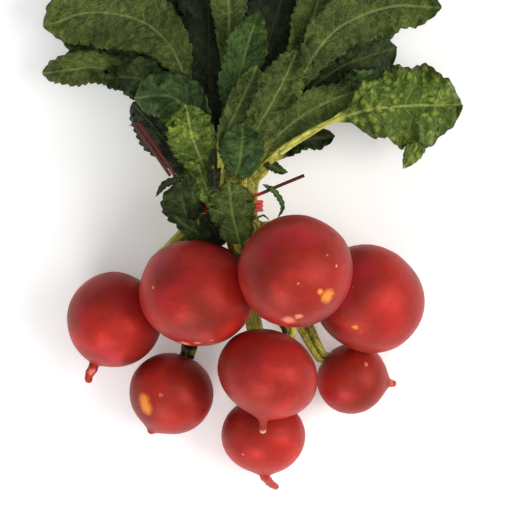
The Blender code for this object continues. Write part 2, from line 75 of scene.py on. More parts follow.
def linear(red, green, blue):
    """A display colour from 0 to 255 as linear light."""
    shares = [c / 255 for c in (red, green, blue)]
    return tuple(s / 12.92 if s <= 0.04045 else ((s + 0.055) / 1.055) ** 2.4 for s in shares)


# Reading a CAD node's sections


def welded_mesh(name):
    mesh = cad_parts[name].data
    mesh.calc_loop_triangles()
    points = np.array([v.co for v in mesh.vertices])
    faces = np.array([t.vertices for t in mesh.loop_triangles])
    _, first, index = np.unique(np.round(points * 1e6).astype(np.int64), axis=0,
                                return_index=True, return_inverse=True)
    return points[first], index.reshape(-1)[faces]


def caps_of(points, faces, sides):
    """The flat polygons with this many corners, each made of triangles, as sets of corners."""
    normals = np.cross(points[faces[:, 1]] - points[faces[:, 0]], points[faces[:, 2]] - points[faces[:, 0]])
    normals /= np.linalg.norm(normals, axis=1)[:, None]
    owners = {}
    for k, face in enumerate(faces.tolist()):
        for a, b in zip(face, face[1:] + face[:1]):
            owners.setdefault(frozenset((a, b)), []).append(k)
    beside = [set() for _ in faces]
    for pair in owners.values():
        if len(pair) == 2 and normals[pair[0]] @ normals[pair[1]] > FLAT:
            beside[pair[0]].add(pair[1])
            beside[pair[1]].add(pair[0])
    caps, seen = [], set()
    for k in range(len(faces)):
        group, edge = set(), {k} - seen
        while edge:
            group |= edge
            edge = set().union(*(beside[e] for e in edge)) - group
        seen |= group
        if len(group) == sides - 2:
            caps.append({int(v) for e in group for v in faces[e]})
    return [cap for cap in caps if len(cap) == sides]


def sections_of(name, sides, rank):
    """A tube-like node's sections in order, from the end of the lowest rank.

    With the sections' points come each point's neighbours, and each section's points by number.
    """
    points, faces = welded_mesh(name)
    near = [set() for _ in points]
    for a, b, c in faces.tolist():
        near[a] |= {b, c}
        near[b] |= {a, c}
        near[c] |= {a, b}
    caps = caps_of(points, faces, sides)
    ring = min(caps, key=lambda cap: rank(points[list(cap)]))
    seen, rings = set(), []
    while ring:
        if len(ring) != sides:
            raise RuntimeError(f"{name}: section {len(rings)} has {len(ring)} points, not {sides}")
        rings.append(sorted(ring))
        seen |= ring
        ring = set().union(*(near[k] for k in ring)) - seen
    return np.array([points[r] for r in rings]), near, rings


def middle_of(name):
    """The middle of a CAD node's box."""
    low, high = (np.array(corner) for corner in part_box(name))
    return (low + high) / 2


def middles_of(rings):
    return rings.mean(axis=1)


def blended(rows, places):
    """Catmull-Rom through the rows, read at fractional places."""
    rows = np.asarray(rows, float)
    ends = np.concatenate((2 * rows[:1] - rows[1:2], rows, 2 * rows[-1:] - rows[-2:-1]))
    cell = np.clip(np.floor(places).astype(int), 0, len(rows) - 2)
    t = (places - cell).reshape(-1, *([1] * (rows.ndim - 1)))
    a, b, c, d = (ends[cell + k] for k in range(4))
    return 0.5 * (2 * b + (c - a) * t + (2 * a - 5 * b + 4 * c - d) * t**2 + (3 * b - a - 3 * c + d) * t**3)


def tube_parts(grid, first):
    """The points and faces of a closed tube through rings, with its points counted from first."""
    rings, sides = grid.shape[:2]
    points = np.vstack((grid.reshape(-1, 3), grid[0].mean(axis=0), grid[-1].mean(axis=0)))
    faces = []
    for j in range(rings - 1):
        for k in range(sides):
            a, b = first + j * sides + k, first + j * sides + (k + 1) % sides
            faces.append((a, a + sides, b + sides, b))
    start, end = first + rings * sides, first + rings * sides + 1
    base = first + (rings - 1) * sides
    faces += [(start, first + k, first + (k + 1) % sides) for k in range(sides)]
    faces += [(end, base + (k + 1) % sides, base + k) for k in range(sides)]
    return points, faces


def mesh_object(name, points, faces):
    mesh = bpy.data.meshes.new(name)
    mesh.from_pydata(points.tolist(), [], faces)
    mesh.shade_smooth()
    obj = bpy.data.objects.new(name, mesh)
    bpy.context.scene.collection.objects.link(obj)
    return obj


def point_values(obj, name, values):
    layer = obj.data.attributes.new(name, "FLOAT", "POINT")
    layer.data.foreach_set("value", np.asarray(values, np.float32))


def wobble(point, scale, seed):
    """Smooth noise from -1 to 1 at a point given in metres, for bumps of about this size in millimetres."""
    return noise.noise(Vector(point) / (scale * MM) + Vector((seed * 7.3, seed * 3.1, seed * 5.7)))


# Node materials


class Nodes:
    """A short way to write a node tree."""

    def __init__(self, name):
        self.material = bpy.data.materials.new(name)
        self.material.use_nodes = True
        self.tree = self.material.node_tree
        self.shader = self.tree.nodes["Principled BSDF"]

    def link(self, value, socket):
        if isinstance(value, bpy.types.NodeSocket):
            self.tree.links.new(value, socket)
        else:
            socket.default_value = value

    def node(self, kind, **settings):
        node = self.tree.nodes.new(kind)
        for key, value in settings.items():
            setattr(node, key, value)
        return node

    def math(self, operation, *values, clamp=False):
        node = self.node("ShaderNodeMath", operation=operation, use_clamp=clamp)
        for value, socket in zip(values, node.inputs):
            self.link(value, socket)
        return node.outputs[0]

    def mix(self, share, a, b):
        node = self.node("ShaderNodeMix", data_type="RGBA")
        self.link(share, node.inputs["Factor"])
        for value, socket in ((a, node.inputs[6]), (b, node.inputs[7])):
            self.link((*value, 1.0) if isinstance(value, tuple) and len(value) == 3 else value, socket)
        return node.outputs[2]

    def ramp(self, value, low, high, out_low=0.0, out_high=1.0):
        node = self.node("ShaderNodeMapRange", interpolation_type="SMOOTHSTEP")
        for key, number in (("Value", value), ("From Min", low), ("From Max", high),
                            ("To Min", out_low), ("To Max", out_high)):
            self.link(number, node.inputs[key])
        return node.outputs["Result"]

    def place(self):
        return self.node("ShaderNodeTexCoord").outputs["Object"]

    def attribute(self, name):
        return self.node("ShaderNodeAttribute", attribute_name=name).outputs["Fac"]

    def noise(self, vector, size, detail=3.0, rough=0.5, distortion=0.0):
        """Noise with features of about this size, in metres."""
        node = self.node("ShaderNodeTexNoise")
        self.link(vector, node.inputs["Vector"])
        node.inputs["Scale"].default_value = 1 / size
        node.inputs["Detail"].default_value = detail
        node.inputs["Roughness"].default_value = rough
        node.inputs["Distortion"].default_value = distortion
        return node.outputs["Fac"]

    def cells(self, vector, size, feature="DISTANCE_TO_EDGE"):
        node = self.node("ShaderNodeTexVoronoi", feature=feature)
        self.link(vector, node.inputs["Vector"])
        node.inputs["Scale"].default_value = 1 / size
        return node.outputs["Distance"]

    def distance(self, vector, point):
        node = self.node("ShaderNodeVectorMath", operation="DISTANCE")
        self.link(vector, node.inputs[0])
        node.inputs[1].default_value = point
        return node.outputs["Value"]

    def bump(self, height, strength, distance, normal=None):
        node = self.node("ShaderNodeBump")
        node.inputs["Strength"].default_value = strength
        node.inputs["Distance"].default_value = distance
        self.link(height, node.inputs["Height"])
        if normal is not None:
            self.link(normal, node.inputs["Normal"])
        return node.outputs["Normal"]

    def finish(self, colour, roughness, normal, **constants):
        self.link(colour, self.shader.inputs["Base Color"])
        self.link(roughness, self.shader.inputs["Roughness"])
        self.link(normal, self.shader.inputs["Normal"])
        for key, value in constants.items():
            self.shader.inputs[key.replace("_", " ")].default_value = value
        return self.material


# Roots

SKIN = linear(166, 42, 34)
SKIN_DEEP = linear(122, 38, 28)
SKIN_BRIGHT = linear(198, 50, 40)
SKIN_PINK = linear(182, 36, 56)
ORANGE = linear(244, 150, 62)
SALMON = linear(230, 134, 108)
CREAM = linear(236, 205, 170)
CROWN_TAN = linear(146, 128, 74)

# Marks on each root's skin: the place from the middle of the root's box and the radius, both in
# millimetres, and the tone.
MARKS = {
    "radish_left": (((-9.0, -17.0, -1.0), 2.0, SALMON), ((-4.0, -2.0, 17.5), 0.7, SALMON)),
    "radish_mid_left": (((-4.6, -18.9, 5.0), 2.6, SALMON), ((0.5, -18.6, 8.0), 1.8, SALMON),
                        ((6.0, -17.6, 10.0), 1.1, SALMON), ((-16.0, 3.0, 14.0), 0.7, ORANGE),
                        ((12.5, -3.0, 17.0), 0.7, SALMON)),
    "radish_top": (((12.0, -9.3, 14.6), 3.4, ORANGE), ((9.0, -7.4, 17.2), 1.3, ORANGE),
                   ((-2.6, -18.0, 11.0), 3.0, SALMON), ((1.0, -16.4, 13.0), 1.8, SALMON),
                   ((0.8, -4.4, 20.4), 0.7, SALMON), ((15.0, 2.0, 14.6), 0.6, CREAM),
                   ((11.5, 5.8, 16.5), 0.6, SALMON)),
    "radish_right": (((-6.0, -10.5, 16.5), 1.5, ORANGE), ((-3.5, -12.5, 16.0), 0.9, SALMON)),
    "radish_lower_left": (((-9.9, -1.2, 12.8), 3.1, ORANGE), ((-9.4, -4.2, 12.4), 3.3, ORANGE),
                          ((-3.6, 0.8, 15.6), 1.1, SALMON)),
    "radish_centre": (((3.2, 5.6, 15.4), 0.8, SALMON), ((-5.4, 4.6, 15.0), 0.8, SALMON)),
    "radish_lower_right": (((12.6, -1.6, -0.5), 2.2, SALMON), ((3.0, 6.0, 12.0), 0.8, SALMON)),
    "radish_bottom": (((4.0, -10.0, 11.0), 0.8, SALMON), ((-8.0, -3.0, 12.0), 0.6, SALMON)),
}
PALE_TIPS = ("radish_centre", "radish_lower_right")  # taproots that broke off and show their white inside


def skin_material(name, middle):
    n = Nodes(name + "_skin")
    place = n.place()
    colour = n.mix(n.ramp(n.noise(place, 0.03, 2.0), 0.3, 0.7), SKIN_DEEP, SKIN)
    colour = n.mix(n.ramp(n.noise(place, 0.014, 3.0), 0.45, 0.8, 0, 0.7), colour, SKIN_BRIGHT)
    colour = n.mix(n.ramp(n.noise(place, 0.022, 2.0, distortion=0.4), 0.5, 0.8, 0, 0.7), colour, SKIN_PINK)
    speckle = n.ramp(n.noise(place, 0.0009, 2.0, 0.7), 0.58, 0.75)
    colour = n.mix(n.math("MULTIPLY", speckle, 0.3), colour, SKIN_BRIGHT)
    blotch = n.ramp(n.noise(place, 0.005, 4.0, 0.6, 0.6), 0.5, 0.72)
    colour = n.mix(n.math("MULTIPLY", blotch, 0.45), colour, SKIN_DEEP)
    flecks = n.ramp(n.cells(place, 0.008, "F1"), 0.03, 0.06, 1.0, 0.0)
    flecks = n.math("MULTIPLY", flecks, n.ramp(n.noise(place, 0.012), 0.56, 0.66))
    colour = n.mix(n.math("MULTIPLY", flecks, 0.5), colour, SALMON)
    ragged = n.math("MULTIPLY_ADD", n.noise(place, 0.0016, 4.0, 0.65), 0.0024, -0.0012)
    worn = n.math("MULTIPLY", flecks, 0.3)
    for offset, radius, tone in MARKS[name]:
        point = tuple(middle[k] + offset[k] * MM for k in range(3))
        reach = n.math("ADD", n.distance(place, point), ragged)
        mark = n.ramp(reach, radius * 0.3 * MM, radius * 1.15 * MM, 1.0, 0.0)
        colour = n.mix(n.math("MULTIPLY", mark, 0.85), colour, tone)
        worn = n.math("MAXIMUM", worn, mark)
    bare = n.math("MULTIPLY", n.attribute("bare"), n.ramp(n.noise(place, 0.002), 0.2, 0.75, 0.4, 1.0))
    colour = n.mix(bare, colour, CREAM if name in PALE_TIPS else SKIN_DEEP)
    crown = n.math("MULTIPLY", n.attribute("crown"), n.ramp(n.noise(place, 0.0025), 0.3, 0.6))
    colour = n.mix(crown, colour, CROWN_TAN)
    worn = n.math("MAXIMUM", worn, bare)
    roughness = n.math("MULTIPLY_ADD", n.noise(place, 0.004, 3.0), 0.14, 0.36)
    roughness = n.math("ADD", roughness, n.math("MULTIPLY", worn, 0.25))
    normal = n.bump(n.noise(place, 0.007, 2.0), 0.4, 0.0008)
    normal = n.bump(n.noise(place, 0.0012, 3.0, 0.6), 0.25, 0.0002, normal)
    normal = n.bump(n.math("MULTIPLY", worn, n.noise(place, 0.0009, 3.0)), 0.6, 0.0006, normal)
    material = n.finish(colour, roughness, normal, Specular_IOR_Level=0.42, Metallic=0.16,
                        Subsurface_Weight=0.06, Subsurface_Scale=0.002, Subsurface_Radius=(1.0, 0.2, 0.15))
    n.shader.inputs["Specular Tint"].default_value = (1.0, 0.3, 0.3, 1.0)
    return material


TAIL_STEPS = 26
TAIL_SIDES = 24
PULL = 1.7 * MM  # how far a root's skin is drawn out round the foot of its taproot
PULL_REACH = 2.5 * MM
TAIL_SWELL = 1.22  # a taproot's radius over its CAD solid's, within the uneven skin
SHORTEST_TAIL = 2.0 * MM  # a taproot shorter than this is only a mark on the skin


def body_places(centres, radii):
    """A root's axis points and radii from the middle of its crown to its other pole."""
    axis = unit(centres[-1] - centres[0])
    bulge = radii[-1] ** 2 / (2 * radii.max())
    centres = np.vstack((centres, centres[-1] + axis * bulge))
    radii = np.append(radii, 0.03 * radii[-1])
    inner = np.linspace(0, len(radii) - 1, FINE_RINGS)
    rim = np.linspace(0.05, 0.9, CROWN_RINGS)
    axis_points = np.vstack((np.repeat(centres[:1], CROWN_RINGS, axis=0), blended(centres, inner)))
    fine_radii = np.maximum(blended(radii, inner), 0.03 * radii[-2])
    return axis_points, np.concatenate((rim * radii[0], fine_radii))


def rings_round(axis_points, radius, first_side, sides):
    """Rings of points round a path, square to it."""
    ways = np.gradient(axis_points, axis=0)
    ways[np.linalg.norm(ways, axis=1) < 1e-9] = ways[-1]
    ways /= np.linalg.norm(ways, axis=1)[:, None]
    side = np.array([unit(first_side - way * (first_side @ way)) for way in ways])
    other = np.cross(ways, side)
    angles = np.linspace(0, 2 * math.pi, sides, endpoint=False)
    ring = np.cos(angles)[None, :, None] * side[:, None] + np.sin(angles)[None, :, None] * other[:, None]
    return axis_points[:, None] + ring * radius[:, None, None], ring


def drawn_to_tail(grid, centre, foot, way):
    """The skin drawn out along the taproot near its foot."""
    outward = grid - centre
    outward /= np.linalg.norm(outward, axis=2)[..., None]
    arc = np.arccos(np.clip(outward @ unit(foot - centre), -1, 1)) * np.linalg.norm(foot - centre)
    near = np.exp(-((arc / PULL_REACH) ** 1.5)) + 0.08 * np.exp(-((arc / (3 * PULL_REACH)) ** 2))
    return grid + PULL * near[..., None] * way


def make_root(name, seed):
    """A turned root with the small unevenness of a grown one, drawn out into its taproot."""
    rings, _, _ = sections_of(name, ROOT_SIDES, lambda cap: -np.ptp(cap, axis=0).max())
    centres = middles_of(rings)
    radii = np.linalg.norm(rings - centres[:, None], axis=2).mean(axis=1)
    body = centres[:BODY_RINGS]
    centre = (body[0] + body[-1]) / 2
    axis = unit(body[-1] - body[0])
    first_side = unit(np.cross(axis, (0.31, 0.17, 0.93)))
    axis_points, radius = body_places(body, radii[:BODY_RINGS])
    grid, ring = rings_round(axis_points, radius, first_side, FINE_SIDES)
    rng = random.Random(seed)
    lobes = rng.choice((2, 3))
    turn = rng.uniform(0, 6.28)
    angles = np.linspace(0, 2 * math.pi, FINE_SIDES, endpoint=False)
    for j in range(len(grid)):
        share = radius[j] / radius.max()
        for k, angle in enumerate(angles):
            out = 0.08 * MM * wobble(grid[j, k], 3, seed) + 0.5 * MM * wobble(grid[j, k], 13, seed + 3)
            out += 0.3 * MM * math.cos(lobes * angle + turn)
            grid[j, k] += ring[j, k] * out * share
    tail = centres[BODY_RINGS:]
    way = unit(tail[-1] - tail[0])
    crown = np.repeat(np.clip((1.15 - radius / radii[0]) / 0.3, 0, 1), FINE_SIDES) * np.repeat(
        np.arange(len(radius)) < FINE_RINGS // 2, FINE_SIDES)
    if np.linalg.norm(tail[-1] - tail[0]) < SHORTEST_TAIL:
        bare = np.zeros(len(grid) * FINE_SIDES + 2)
        return root_object(name, *tube_parts(grid, 0), [*crown, 1, 0], bare)
    grid = drawn_to_tail(grid, centre, tail[0], unit(unit(tail[0] - centre) + 0.6 * way))
    body_mesh = tube_parts(grid, 0)
    root_end = tail[0] + (centre - tail[0]) * 0.25
    places = np.linspace(0, len(tail), TAIL_STEPS)
    path = blended(np.vstack((root_end, tail)), places)
    to_tip = np.linalg.norm(path - path[-1], axis=1)
    thick = np.interp(places, range(len(tail) + 1), (radii[BODY_RINGS], *radii[BODY_RINGS:]))
    thick *= TAIL_SWELL * np.sqrt(np.clip(1 - (1 - np.clip(to_tip / thick[-1], 0.02, 1)) ** 2, 0, 1))
    tail_grid, ring = rings_round(path, thick, first_side, TAIL_SIDES)
    for j in range(TAIL_STEPS):
        for k in range(TAIL_SIDES):
            tail_grid[j, k] += ring[j, k] * 0.22 * thick[j] * wobble(tail_grid[j, k], 1.6, seed + 5)
    tail_mesh = tube_parts(tail_grid, len(body_mesh[0]))
    pale = np.repeat(np.clip((places - len(tail) + 0.42) / 0.25, 0, 1), TAIL_SIDES)
    return root_object(name, np.vstack((body_mesh[0], tail_mesh[0])), body_mesh[1] + tail_mesh[1],
                       [*crown, 1, 0, *np.zeros(len(tail_mesh[0]))],
                       [*np.zeros(len(body_mesh[0])), *pale, 0, 1])


def root_object(name, points, faces, crown, bare):
    obj = mesh_object(name + "_skin", points, faces)
    point_values(obj, "crown", crown)
    point_values(obj, "bare", bare)
    obj.data.materials.append(skin_material(name, middle_of(name)))
    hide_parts(name)
    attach(obj, "root")
    return obj


# Leaves

# Tones of a leaf: its blade where dark, its blade where light, its veins, and how crinkled its skin is.
TONES = {
    "olive": (linear(50, 66, 22), linear(98, 114, 44), linear(146, 158, 86), 0.7),
    "green": (linear(34, 58, 24), linear(76, 104, 40), linear(118, 142, 72), 1.0),
    # The dark tone is a deep green that also carries painted shade, for leaves that lie in shadow.
    "dark": (linear(24, 34, 16), linear(64, 80, 36), linear(90, 104, 54), 1.0),
    # The shade tone is painted shade: near-black leaves that stand for the deep shadow between the leaves.
    "shade": (linear(24, 30, 17), linear(58, 66, 42), linear(72, 80, 52), 0.7),
    "bright": (linear(66, 92, 26), linear(140, 160, 58), linear(190, 202, 110), 1.7),
}
STALK_PALE = linear(232, 224, 112)
STALK_GREEN = linear(164, 170, 60)
STALK_DARK = linear(40, 36, 20)
DARK_FEET = (1, 2, 7, 8, 14, 15, 20)  # leaves whose stalks are darker where they leave the root, partly dark brown and partly painted shade at the crowns under the leaves

VEIN_SPACING = 7.5  # millimetres along the midrib
VEIN_LEAN = 0.5  # how far a side vein runs forward as it goes outward
VEIN_BEND = 1.25
UV_SCALE = 0.2  # metres of leaf to the side of the texture square


def leaf_material(tone):
    dark, light, vein, crinkle = TONES[tone]
    n = Nodes("leaf_" + tone)
    place = n.place()
    split = n.node("ShaderNodeSeparateXYZ")
    n.link(n.node("ShaderNodeUVMap", uv_map="leaf").outputs["UV"], split.inputs[0])
    across = n.math("MULTIPLY", n.math("SUBTRACT", split.outputs["X"], 0.5), UV_SCALE / MM)
    along = n.math("MULTIPLY", split.outputs["Y"], UV_SCALE / MM)
    shift = n.math("MULTIPLY_ADD", n.noise(place, 0.012, 2.0), 5.0, -2.5)
    out = n.math("ABSOLUTE", across)
    lean = n.math("MULTIPLY_ADD", n.math("POWER", out, VEIN_BEND), -VEIN_LEAN, along)
    order = n.math("DIVIDE", n.math("ADD", lean, shift), VEIN_SPACING)
    step = n.math("ABSOLUTE", n.math("SUBTRACT", n.math("FRACT", order), 0.5))
    side_vein = n.math("MULTIPLY", n.ramp(step, 0.0, 0.06, 1.0, 0.0), n.ramp(out, 1.0, 14.0, 0.7, 0.25))
    midrib = n.math("MULTIPLY", n.ramp(out, 0.15, 0.8, 1.0, 0.0), 0.8)
    bent = n.node("ShaderNodeVectorMath", operation="MULTIPLY_ADD")
    warp = n.node("ShaderNodeTexNoise")
    warp.inputs["Scale"].default_value = 1 / 0.004
    n.link(place, warp.inputs["Vector"])
    n.link(warp.outputs["Color"], bent.inputs[0])
    bent.inputs[1].default_value = (0.003, 0.003, 0.003)
    n.link(place, bent.inputs[2])
    net = n.math("MULTIPLY", n.ramp(n.cells(bent.outputs[0], 0.0034), 0.0, 0.12, 1.0, 0.0), 0.16)
    blister = n.ramp(n.cells(bent.outputs[0], 0.0036, "F1"), 0.0, 0.75, 1.0, 0.0)
    small = n.ramp(n.cells(place, 0.0013), 0.0, 0.2, 1.0, 0.0)
    veins = n.math("MAXIMUM", n.math("MAXIMUM", midrib, n.math("MULTIPLY", side_vein, 0.85)), net)
    mottle = n.math("ADD", n.math("MULTIPLY", n.noise(place, 0.013, 3.0), 0.75),
                    n.math("MULTIPLY", n.noise(place, 0.0022, 4.0, 0.65), 0.5))
    mottle = n.math("ADD", mottle, n.math("MULTIPLY", n.math("SUBTRACT", blister, 0.5), 0.25 * crinkle))
    colour = n.mix(n.ramp(mottle, 0.44, 0.82), dark, light)
    colour = n.mix(n.math("MULTIPLY", small, 0.25), colour, light)
    colour = n.mix(n.math("MULTIPLY", veins, 0.75), colour, vein)
    colour = n.mix(n.ramp(n.attribute("edge"), 0.93, 1.0, 0.0, 0.35), colour, vein)
    grain = n.node("ShaderNodeCombineXYZ")
    n.link(across, grain.inputs["X"])
    n.link(n.math("MULTIPLY", along, 0.08), grain.inputs["Y"])
    streak = n.ramp(n.noise(grain.outputs[0], 0.9, 2.0), 0.35, 0.65)
    stalk = n.mix(streak, STALK_PALE, STALK_GREEN)
    # Darker stalk feet on some leaves: partly their dark brown, partly painted shade at the crowns.
    foot_shade = n.math("MULTIPLY", n.attribute("foot"), n.ramp(n.noise(place, 0.004), 0.35, 0.6, 0.5, 1.0))
    stalk = n.mix(foot_shade, stalk, STALK_DARK)
    colour = n.mix(n.attribute("stalk"), colour, stalk)
    raised = n.math("ADD", n.math("MULTIPLY", veins, -0.8), n.math("MULTIPLY", small, -0.35))
    raised = n.math("ADD", raised, n.math("MULTIPLY", n.noise(place, 0.002, 4.0, 0.6), 1.2))
    raised = n.math("ADD", raised, n.math("MULTIPLY", blister, 1.6 * crinkle))
    normal = n.bump(raised, 0.9, 0.0011)
    normal = n.bump(streak, 0.15, 0.0002, normal)
    roughness = n.math("MULTIPLY_ADD", n.noise(place, 0.004, 2.0), 0.2, 0.42)
    # The shade and dark tones keep little sheen, so their painted shade stays dark.
    gloss = 0.15 if tone in ("shade", "dark") else 0.28
    return n.finish(colour, roughness, normal, Specular_IOR_Level=gloss, Subsurface_Weight=0.1,
                    Subsurface_Scale=0.001, Subsurface_Radius=(0.6, 1.0, 0.15))


# How each leaf's blade looks: its tone, how much its edge ruffles and its face puckers, how far its tip
# curls up, and how deep its margin is lobed.
LOOKS = {
    # Leaves 14, 15 and 18 take the shade tone, painted shade for the dark gaps between the leaves.
    12: ("olive", 1.2, 1.0, 1.0, 0.06), 14: ("shade", 1.0, 1.0, 0.0, 0.1),
    15: ("shade", 1.0, 1.0, 0.0, 0.1), 13: ("dark", 1.0, 1.0, 0.0, 0.1),
    16: ("dark", 1.2, 1.0, 0.0, 0.08), 17: ("dark", 1.6, 1.6, 0.0, 0.25),
    18: ("shade", 1.5, 1.0, 0.0, 0.1), 19: ("olive", 1.6, 1.2, 2.0, 0.05),
    20: ("olive", 1.0, 1.0, 0.0, 0.1), 21: ("olive", 1.2, 1.2, 1.0, 0.1),
    22: ("olive", 1.8, 1.2, 2.0, 0.1), 23: ("green", 2.0, 1.2, 0.0, 0.2),
    24: ("dark", 2.4, 2.2, 6.0, 0.28), 25: ("green", 2.6, 2.6, 2.0, 0.12),
    26: ("green", 1.6, 1.2, 2.0, 0.12), 27: ("olive", 1.5, 1.0, 1.0, 0.1),
    28: ("bright", 3.4, 3.2, 3.0, 0.16), 29: ("bright", 2.0, 1.8, 3.0, 0.05),
    30: ("olive", 1.0, 0.8, 1.0, 0.1), 31: ("olive", 2.2, 1.4, 1.0, 0.1),
    32: ("green", 1.8, 1.8, 2.0, 0.06), 33: ("dark", 1.4, 1.4, 1.0, 0.08),
    34: ("olive", 1.6, 1.8, 1.0, 0.03),
}
COMMON_LOOK = ("green", 1.2, 1.0, 1.0, 0.12)
STALK_RADII = (1.25 * MM, 1.65 * MM, 0.35 * MM)  # at the crown, at the neck and at the leaf's tip
TOOTH = 3.7  # millimetres along the margin, half a millimetre more or less on either side
TOOTH_DEPTH = 0.9 * MM
LEAST_HALF = 0.32 * MM  # half the width of a blade where its margin is cut deepest


def leaf_columns(rings, near, index):
    """A leaf's sections as right edge, inner right, inner left and left edge, midway through the blade."""
    middles = middles_of(rings)
    ways = np.gradient(middles, axis=0)
    columns = []
    for points, way, keys in zip(rings, ways, index):
        side = unit(np.cross(way, UP))
        across = (points - points.mean(axis=0)) @ side
        right, left = int(np.argmax(across)), int(np.argmin(across))
        at = {key: k for k, key in enumerate(keys)}
        by_right = [at[k] for k in near[keys[right]] if k in at]
        by_left = [at[k] for k in near[keys[left]] if k in at]
        inner_right = points[by_right].mean(axis=0)
        inner_left = points[by_left].mean(axis=0)
        columns.append((points[right], inner_right, inner_left, points[left]))
    return np.array(columns)


def nearest_above_and_below(tree, point, skin):
    """The free height over and under a point of a blade, from the other pieces and the surface."""
    found = []
    for way in (1.0, -1.0):
        start = Vector((point[0], point[1], point[2] + way * skin))
        hit = tree.ray_cast(start, Vector((0, 0, way)), 0.06)
        found.append(0.06 if hit[0] is None else hit[3] + skin)
    found[1] = min(found[1], max(point[2], 0.0) * 2)
    return found


def tooth(distance, size, seed):
    """How deep a leaf's margin is cut here, from 0 at a tooth's tip to 1 in a notch, unevenly spaced."""
    moved = distance + size * 0.6 * noise.noise(Vector((distance / size * 0.31, seed, 0.5)))
    share = (moved / size) % 1.0
    rise = 0.22
    return (1 - (share - rise) / (1 - rise)) ** 1.4 if share > rise else share / rise


def make_leaf(number, tree, material):
    name = f"leaf_{number:02d}"
    _, ruffle, pucker, curl, lobing = LOOKS.get(number, COMMON_LOOK)
    rings, near, index = sections_of(name, LEAF_SIDES, lambda cap: cap[:, 1].mean())
    columns = leaf_columns(rings, near, index)
    last = len(rings) - 1
    stalk_places = np.linspace(0, STALK_RINGS, STALK_STEPS)
    places = np.concatenate((stalk_places, np.linspace(STALK_RINGS, last, BLADE_STEPS)[1:]))
    fine = blended(columns, places)
    centres = fine[:, 1:3].mean(axis=1)
    side = fine[:, 0] - fine[:, 3]
    side[:, 2] = 0
    half = np.linalg.norm(side, axis=1) / 2
    side /= 2 * half[:, None]
    ways = np.gradient(centres, axis=0)
    ways /= np.linalg.norm(ways, axis=1)[:, None]
    along = np.concatenate(((0,), np.cumsum(np.linalg.norm(np.diff(centres, axis=0), axis=1))))
    stalk_radius = np.interp(places, (0, STALK_RINGS, last), STALK_RADII)
    flat = np.clip((half / stalk_radius - 1.15) / 2.2, 0, 1)
    flat = flat * flat * (3 - 2 * flat)
    to_tip = along[-1] - along
    tip_length = np.clip(0.5 * half.max(), 3 * MM, 8 * MM)
    rounding = np.sqrt(np.clip(1 - (1 - np.clip(to_tip / tip_length, 0, 1)) ** 2, 0.0, 1))
    share = np.linspace(-1, 1, 2 * ACROSS - 1)
    share = np.sign(share) * np.abs(share) ** 1.35
    rng = random.Random(number * 13 + 5)
    wave = [rng.uniform(13, 20) * MM, rng.uniform(0, 6.28), rng.uniform(12, 18) * MM, rng.uniform(0, 6.28)]
    top, under, uv, stalk_mask, edge_mask = [], [], [], [], []
    for j in range(len(places)):
        notch = []
        for way in (-1, 1):
            lobe = 0.5 + 0.5 * math.cos(along[j] / lobe_length(number, way) * 2 * math.pi)
            teeth = tooth(along[j], (TOOTH + 0.5 * way) * MM, number * 2 + way)
            depth = lobing * lobe * half[j] + TOOTH_DEPTH * teeth * min(1, half[j] / (6 * MM))
            notch.append(max(half[j] * rounding[j] - depth * flat[j], LEAST_HALF))
        offset = [share_k * notch[1 if share_k > 0 else 0] for share_k in share]
        rows = cross_heights(fine[j], side[j], centres[j], half[j], offset)
        up_row, under_row = [], []
        for k, (u, x) in enumerate(zip(share, offset)):
            base = centres[j] + side[j] * x
            base[2] = rows[k]
            if flat[j] > 0:
                base[2] += blade_lift(number, base, u, x, along[j], to_tip[j], ruffle, pucker, curl, wave,
                                      tree) * flat[j]
            thin = (0.17 - 0.09 * abs(u) ** 3) * MM
            rr = stalk_radius[j]
            xi = min(1.0, abs(x) / rr)
            dome = rr * math.sqrt(1 - xi * xi)
            channel = rr * 0.45 * math.exp(-(xi / 0.45) ** 2)
            high = (1 - flat[j]) * max(dome - channel, 0) + flat[j] * (thin + 0.25 * dome - 0.3 * channel)
            low = (1 - flat[j]) * dome + flat[j] * max(thin, 0.8 * dome)
            up_row.append(base + UP * high)
            under_row.append(base - UP * low)
            uv.append((0.5 + x / UV_SCALE, along[j] / UV_SCALE))
            stalk_mask.append((1 - flat[j]) if xi < 1 else max(0.0, (1 - flat[j]) ** 2))
            edge_mask.append(abs(u) * flat[j])
        top.append(up_row)
        under.append(under_row)
    return leaf_object(name + "_blade", np.array(top), np.array(under), np.array(uv), stalk_mask, edge_mask,
                       places, material, name, number in DARK_FEET)


def lobe_length(number, way):
    """How long one lobe of a leaf's margin is, which differs from leaf to leaf and side to side."""
    return (13 + (number * 7 + way * 3) % 6) * MM


def cross_heights(columns, side, centre, half, offsets):
    """Heights across a section, on the cubic through its four columns."""
    known = np.array([(c - centre) @ side for c in columns])
    heights = columns[:, 2]
    if half < 2.4 * MM:
        return np.full(len(offsets), heights[1:3].mean())
    result = np.zeros(len(offsets))
    for a in range(4):
        basis = np.ones(len(offsets))
        for b in range(4):
            if a != b:
                basis *= (np.array(offsets) - known[b]) / (known[a] - known[b])
        result += heights[a] * basis
    return result


